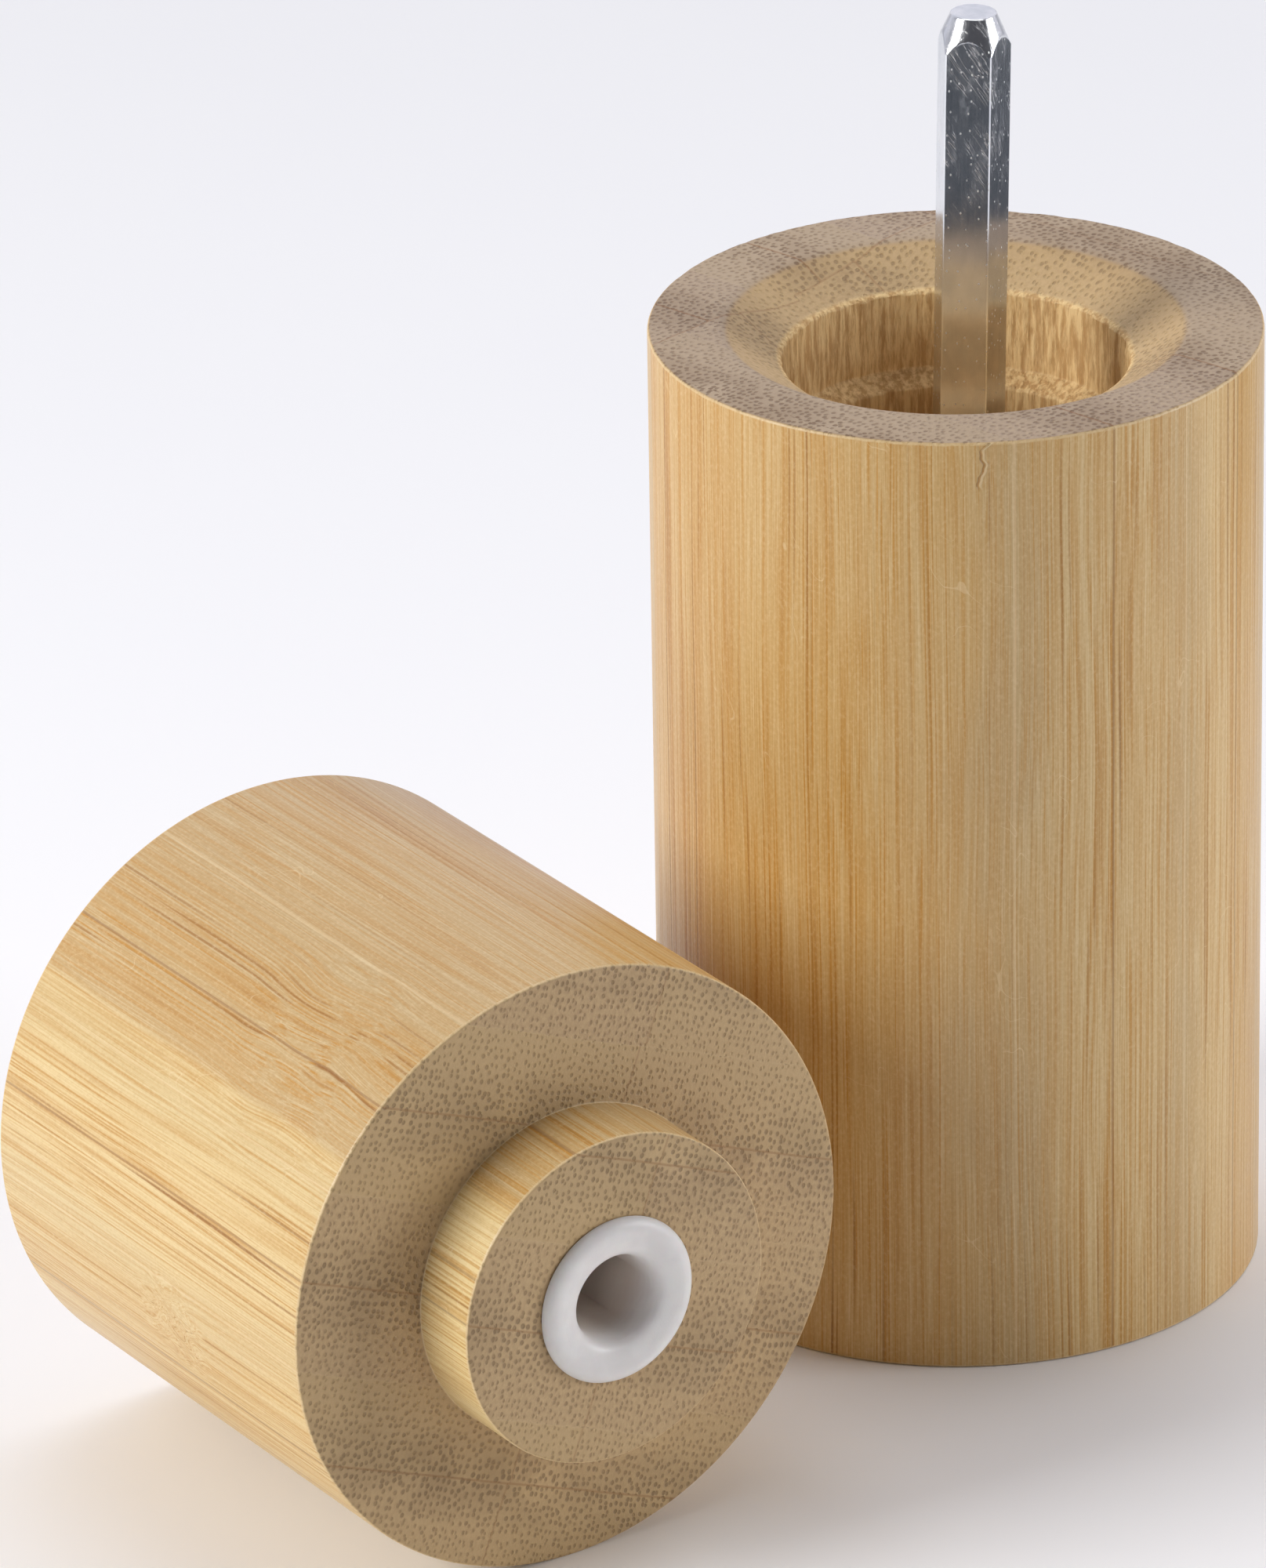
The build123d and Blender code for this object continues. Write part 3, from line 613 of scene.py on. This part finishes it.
def softened(corners, closed, steps=5):
    """An outline of (radius, height, rounding) corners, with each rounded one made a curve."""
    outline = []
    count = len(corners)
    for number, (radius, height, rounding) in enumerate(corners):
        here = Vector((radius, height))
        inside = closed or 0 < number < count - 1
        if not rounding or not inside:
            outline.append(here)
            continue
        before = (Vector(corners[number - 1][:2]) - here).normalized()
        after = (Vector(corners[(number + 1) % count][:2]) - here).normalized()
        for step in range(steps + 1):
            share = step / steps
            start = here + before * rounding * (1 - share)
            end = here + after * rounding * share
            outline.append(start.lerp(end, share))
    return outline


def divided(outline, closed, longest):
    """The outline with its long runs cut into equal lengths, no longer than longest(midpoint)."""
    cut = []
    ends = outline[1:] + (outline[:1] if closed else [])
    for start, end in zip(outline, ends):
        pieces = max(1, ceil((end - start).length / longest((start + end) / 2)))
        cut += [start.lerp(end, piece / pieces) for piece in range(pieces)]
    return cut if closed else cut + [outline[-1]]


def turned_mesh(name, outline, closed, segments, shift=None):
    """A solid of revolution about Z from an outline in millimetres, shifted point by point."""
    points, faces, rings = [], [], []
    for place in outline:
        if place.x < on_axis:
            rings.append([len(points)] * segments)
            points.append(Vector((0, 0, place.y)))
            continue
        rings.append([len(points) + side for side in range(segments)])
        for side in range(segments):
            angle = tau * side / segments
            point = Vector((place.x * cos(angle), place.x * sin(angle), place.y))
            points.append(shift(point) if shift else point)
    pairs = list(zip(rings, rings[1:] + rings[:1])) if closed else list(zip(rings, rings[1:]))
    for lower, upper in pairs:
        for side in range(segments):
            turn = (side + 1) % segments
            corners = [lower[side], lower[turn], upper[turn], upper[side]]
            unique = list(dict.fromkeys(corners))
            if len(unique) > 2:
                faces.append(unique)
    mesh = bpy.data.meshes.new(name)
    mesh.from_pydata([point * MM for point in points], [], faces)
    mesh.validate()
    return mesh


def piece(name, mesh, material, body, slot, nodes, place=None, sharp=40):
    """An object for a mesh: smooth shaded, set in place, riding a body and standing for CAD nodes."""
    mesh.shade_smooth()
    mesh.set_sharp_from_angle(angle=radians(sharp))
    mesh.materials.append(material)
    made = bpy.data.objects.new(name, mesh)
    bpy.context.scene.collection.objects.link(made)
    if place:
        made.matrix_world = place
    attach(made, body)
    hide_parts(*nodes)
    return made


# ---- barrel ------------------------------------------------------------------------
mouth_top = barrel_height - dish_depth
ledge_top = mouth_top - mouth_length
ledge_bottom = ledge_top - ledge_drop

barrel_outline = softened(
    [
        (recess_radius, 0, 0.3),
        (barrel_radius, 0, edge_round),
        (barrel_radius, barrel_height, edge_round),
        (dish_radius, barrel_height, 0.7),
        (mouth_radius, mouth_top, 0.25),
        (mouth_radius, ledge_top, 0.2),
        (chamber_radius, ledge_bottom, 0.3),
        (chamber_radius, pocket_top, 0.2),
        (pocket_radius, pocket_top, 0.2),
        (pocket_radius, recess_depth, 0.2),
        (recess_radius, recess_depth, 0.2),
    ],
    closed=True,
)


def bore_step(place):
    """Short steps down the torn mouth and ledge, long ones elsewhere."""
    in_mouth = place.x < mouth_radius + 0.1 and place.y > ledge_bottom - 3
    return 0.35 if in_mouth else 30.0


def fray(point):
    """Torn fibres on the mouth's wall and ledge, and a slightly uneven outer edge."""
    radius = hypot(point.x, point.y)
    if radius < mouth_radius + 0.02 and ledge_bottom - 4 < point.z < mouth_top - 0.05:
        outward = Vector((point.x, point.y, 0)) / radius
        torn = noise.noise(Vector((point.x * 1.7, point.y * 1.7, point.z * 0.45)))
        rough = noise.noise(Vector((point.x * 4, point.y * 4, point.z * 1.6)))
        point = point + outward * (torn * 0.16 + rough * 0.07)
    if radius > barrel_radius - 0.5 and point.z > barrel_height - 0.5:
        chip = noise.noise(Vector((point.x * 0.9, point.y * 0.9, 0)))
        point = point + Vector((0, 0, min(0.0, chip) * 0.1))
    return point


barrel_mesh = turned_mesh(
    "barrel_turned", divided(barrel_outline, True, bore_step), closed=True, segments=360, shift=fray
)
piece("barrel_turned", barrel_mesh, barrel_bamboo, "mill_body", "bamboo_body", ["barrel"])

# ---- head --------------------------------------------------------------------------
knob_outline = softened(
    [
        (0, -head_length, 0),
        (head_radius, -head_length, edge_round),
        (head_radius, 0, edge_round),
        (spigot_radius, 0, 0.15),
        (spigot_radius, spigot_length, 0.3),
        (bush_bore_radius, spigot_length, 0.15),
        (bush_bore_radius, spigot_length - bush_bore_depth, 0.2),
        (shaft_bore_radius, spigot_length - bush_bore_depth, 0.2),
        (shaft_bore_radius, spigot_length - shaft_bore_depth, 0.3),
        (0, spigot_length - shaft_bore_depth, 0),
    ],
    closed=False,
)
knob_mesh = turned_mesh("knob_turned", knob_outline, closed=False, segments=360)
piece("knob_turned", knob_mesh, head_bamboo, "head", "bamboo_head", ["knob"], head_frame)


# ---- drive bush ----------------------------------------------------------------------
def five_sided(angle, corner_radius):
    """Distance from the centre to a regular pentagon's side, at an angle from its axis."""
    turn = (angle - radians(socket_azimuth)) % (tau / 5) - tau / 10
    return corner_radius * cos(tau / 10) / cos(turn)


def bush_mesh():
    """Flange, funnel mouth and five-sided bore in one grid of rings and spokes.

    A row of the profile is a radius, a height above the spigot and how five-sided it is.
    """
    spokes = 180
    profile = [
        (bush_tube_radius, -bush_length, 0.0),
        (bush_tube_radius, 0.0, 0.0),
        (bush_flange_radius - 0.12, 0.0, 0.0),
        (bush_flange_radius, 0.1, 0.0),
        (bush_flange_radius - 0.02, 0.26, 0.0),
        (bush_flange_radius - 0.16, 0.5, 0.0),
        (bush_flange_radius - 0.42, 0.72, 0.0),
        (bush_flange_radius - 0.78, 0.86, 0.0),
        (bush_crest_radius, bush_crown, 0.0),
        (bush_crest_radius - 0.4, bush_crown - 0.06, 0.0),
        (bush_crest_radius - 0.9, bush_crown - 0.17, 0.0),
        (bush_dip_radius, bush_dip, 0.0),
        (bush_dip_radius - 0.35, bush_dip - 0.12, 0.0),
        (bush_dip_radius - 0.7, bush_dip - 0.36, 0.0),
        (bush_throat_radius + 0.2, bush_dip - 0.72, 0.0),
        (bush_throat_radius + 0.08, bush_dip - 1.2, 0.0),
        (bush_throat_radius + 0.02, bush_dip - 1.8, 0.03),
        (bush_throat_radius, bush_dip - 2.6, 0.1),
        (bush_throat_radius, bush_dip - 3.4, 0.25),
        (bush_throat_radius, bush_dip - 4.2, 0.5),
        (bush_throat_radius, bush_dip - 5.0, 0.75),
        (bush_throat_radius, bush_dip - 5.8, 0.93),
        (bush_throat_radius, bush_dip - 6.6, 1.0),
        (bush_throat_radius, -bush_length, 1.0),
    ]
    points, faces = [], []
    for radius, height, sided in profile:
        for spoke in range(spokes):
            angle = tau * spoke / spokes
            reach = radius * (1 - sided) + five_sided(angle, socket_radius) * sided
            points.append(Vector((reach * cos(angle), reach * sin(angle), height + spigot_length)))
    rows = len(profile)
    for row in range(rows):
        for spoke in range(spokes):
            turn = (spoke + 1) % spokes
            below, above = row * spokes, (row + 1) % rows * spokes
            faces.append([below + spoke, below + turn, above + turn, above + spoke])
    mesh = bpy.data.meshes.new("drive_bush_moulded")
    mesh.from_pydata([point * MM for point in points], [], faces)
    return mesh


piece(
    "drive_bush_moulded",
    bush_mesh(),
    white_plastic,
    "head",
    "white_plastic",
    ["drive_bush"],
    head_frame,
    sharp=50,
)

# ---- drive shaft ---------------------------------------------------------------------
shaft_pivot = Matrix.Translation(Vector(joints["shaft_rock"]["pos_m"]))
shaft_frame = shaft_pivot @ Matrix.Rotation(radians(shaft_lean), 4, "Y") @ shaft_pivot.inverted()


def five_sided_outline(corner_radius, corner_round, arc_steps=6, edge_share=0.02):
    """Points round a regular pentagon with rounded corners."""
    round_centre = corner_radius - corner_round / cos(tau / 10)
    corners = []
    for corner in range(5):
        azimuth = radians(shaft_corner_azimuth) + tau * corner / 5
        centre = Vector((cos(azimuth), sin(azimuth))) * round_centre
        for step in range(arc_steps + 1):
            angle = azimuth + (step / arc_steps - 0.5) * tau / 5
            corners.append(centre + Vector((cos(angle), sin(angle))) * corner_round)
    outline = []
    for number, (start, end) in enumerate(zip(corners, corners[1:] + corners[:1])):
        along_side = number % (arc_steps + 1) == arc_steps
        shares = (0.0, edge_share, 0.15, 0.32, 0.5, 0.68, 0.85, 1 - edge_share) if along_side else (0.0,)
        outline += [start.lerp(end, share) for share in shares]
    return outline


def shaft_mesh():
    """A five-sided bar whose flats run into a cone at the tip in arcs, with a ring groove low down."""
    taper = (shaft_corner_radius - shaft_tip_radius) / shaft_tip_taper
    snap_neck_top = snap_neck_bottom + snap_neck_length
    outline = five_sided_outline(shaft_corner_radius, shaft_corner_round)
    rings = []
    for height, widest in [
        (shaft_bottom, shaft_corner_radius),
        (snap_neck_bottom, shaft_corner_radius),
        (snap_neck_bottom, snap_neck_radius),
        (snap_neck_top, snap_neck_radius),
        (snap_neck_top, shaft_corner_radius),
    ]:
        rings.append([Vector((*spot * min(1.0, widest / spot.length), height)) for spot in outline])

    # where each side meets the cone, with rings close by on both sides for smooth shading
    meet = [shaft_top - (spot.length - shaft_tip_radius) / taper for spot in outline]
    for drop in (3 * shaft_tip_round, shaft_tip_round):
        rings.append([Vector((*spot, height - drop)) for spot, height in zip(outline, meet)])
    for share in (0.04, 0.12, 0.92, 0.97):
        ring = []
        for spot, height in zip(outline, meet):
            place = height + (shaft_top - height) * share
            radius = shaft_tip_radius + (shaft_top - place) * taper
            ring.append(Vector((*spot.normalized() * radius, place)))
        rings.append(ring)
    tip_radius = shaft_tip_radius - shaft_tip_round
    rings.append([Vector((*spot.normalized() * tip_radius, shaft_top)) for spot in outline])

    count = len(outline)
    points = [point for ring in rings for point in ring]
    faces = [tuple(reversed(range(count))), tuple(range(len(points) - count, len(points)))]
    for row in range(len(rings) - 1):
        for spoke in range(count):
            turn = (spoke + 1) % count
            low, high = row * count, (row + 1) * count
            faces.append((low + spoke, low + turn, high + turn, high + spoke))
    mesh = bpy.data.meshes.new("drive_shaft_drawn")
    mesh.from_pydata([point * MM for point in points], [], faces)
    return mesh


piece(
    "drive_shaft_drawn",
    shaft_mesh(),
    bright_aluminium,
    "shaft",
    "bright_aluminium",
    ["drive_shaft"],
    shaft_frame,
    sharp=16,
)

# ---- preload spring: a copy of its CAD mesh riding the lifter; the real spring shortens by the lifter's stroke ---
spring_mesh = frame["nodes"]["preload_spring"].data.copy()
spring_mesh.materials.clear()
spring = piece(
    "preload_spring_wound", spring_mesh, spring_steel, "lifter", "spring_steel", ["preload_spring"]
)
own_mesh(spring)

# ---- floor, light and camera -----------------------------------------------------------
middle = (cad_low + cad_high) / 2


def card(name, centre, width, depth, material):
    """A flat horizontal sheet of the set."""
    mesh = bpy.data.meshes.new(name)
    half_x, half_y = width / 2, depth / 2
    corners = [(-half_x, -half_y, 0), (half_x, -half_y, 0), (half_x, half_y, 0), (-half_x, half_y, 0)]
    mesh.from_pydata(corners, [], [(0, 1, 2, 3)])
    mesh.materials.append(material)
    sheet = bpy.data.objects.new(name, mesh)
    sheet.location = centre
    bpy.context.scene.collection.objects.link(sheet)
    return sheet


def backdrop_paper(name, tint, shade):
    s = Surface(name, Specular_IOR_Level=0.2)
    fibre = s.noise(s.point(s.x, s.y, s.z), 0.02, 3.0)
    return s.finish(s.mix(fibre, tint, shade), 0.7 + fibre * 0.1)


pale_paper = backdrop_paper("pale_paper", colour(252, 252, 253), colour(250, 250, 252))
dark_paper = backdrop_paper("dark_paper", colour(72, 77, 83), colour(60, 64, 70))
card("floor", (0, 0, 0), 16.0, 16.0, pale_paper)
# two dark sheets that only reflections see, to darken the flats of the shaft
for flag_name, flag_place, flag_size in [
    ("front_flag", (-0.07, -0.36, 0.001), (0.30, 0.36)),
    ("back_flag", (0.20, 0.135, 0.001), (0.14, 0.13)),
]:
    flag = card(flag_name, flag_place, *flag_size, dark_paper)
    flag.visible_camera = False
    flag.visible_diffuse = False
    flag.visible_shadow = False


def softbox(name, position, target, width, height, watts, tint=(1, 1, 1)):
    """A rectangular area light aimed at a point."""
    light = bpy.data.lights.new(name, "AREA")
    light.shape = "RECTANGLE"
    light.size = width
    light.size_y = height
    light.energy = watts
    light.color = tint
    lamp = bpy.data.objects.new(name, light)
    lamp.location = position
    lamp.rotation_euler = (Vector(target) - Vector(position)).to_track_quat("-Z", "Y").to_euler()
    bpy.context.scene.collection.objects.link(lamp)


softbox("left", (-0.85, -0.35, 0.5), middle, 0.4, 0.4, 7.0, (1.0, 0.985, 0.96))
softbox("right", (0.9, -0.1, 0.3), middle, 0.4, 0.4, 3.6, (0.98, 0.985, 1.0))
softbox("top", (0.05, 0.25, 1.0), middle, 0.8, 0.6, 2.2, (0.98, 0.99, 1.0))

# the studio is bright behind the mill and dim in front of it
front_dim, back_bright = -0.5, 0.8
dim_level, bright_level = 0.1, 0.95
world = bpy.data.worlds.new("studio")
world.use_nodes = True
sky = world.node_tree
direction = sky.nodes.new("ShaderNodeTexCoord")
axes = sky.nodes.new("ShaderNodeSeparateXYZ")
fade = sky.nodes.new("ShaderNodeMapRange")
fade.interpolation_type = "SMOOTHSTEP"
for socket, number in zip(fade.inputs[1:], (front_dim, back_bright, dim_level, bright_level)):
    socket.default_value = number
sky.links.new(direction.outputs["Generated"], axes.inputs[0])
sky.links.new(axes.outputs["Y"], fade.inputs["Value"])
sky.links.new(fade.outputs[0], sky.nodes["Background"].inputs["Strength"])
sky.nodes["Background"].inputs["Color"].default_value = colour(243, 243, 253)
bpy.context.scene.world = world
bpy.context.scene.view_settings.view_transform = "Standard"

camera_place = Vector((-27.78, -955.68, 477.39)) * MM
camera_pitch = radians(65.57)
camera_roll = radians(-0.906)
lens = bpy.data.cameras.new("camera")
lens.sensor_width = 36.0
lens.lens = 281.47
lens.clip_end = 30.0
camera = bpy.data.objects.new("camera", lens)
camera_turn = Matrix.Rotation(camera_pitch, 4, "X") @ Matrix.Rotation(camera_roll, 4, "Z")
camera.matrix_world = Matrix.Translation(camera_place) @ camera_turn
bpy.context.scene.collection.objects.link(camera)
bpy.context.scene.camera = camera
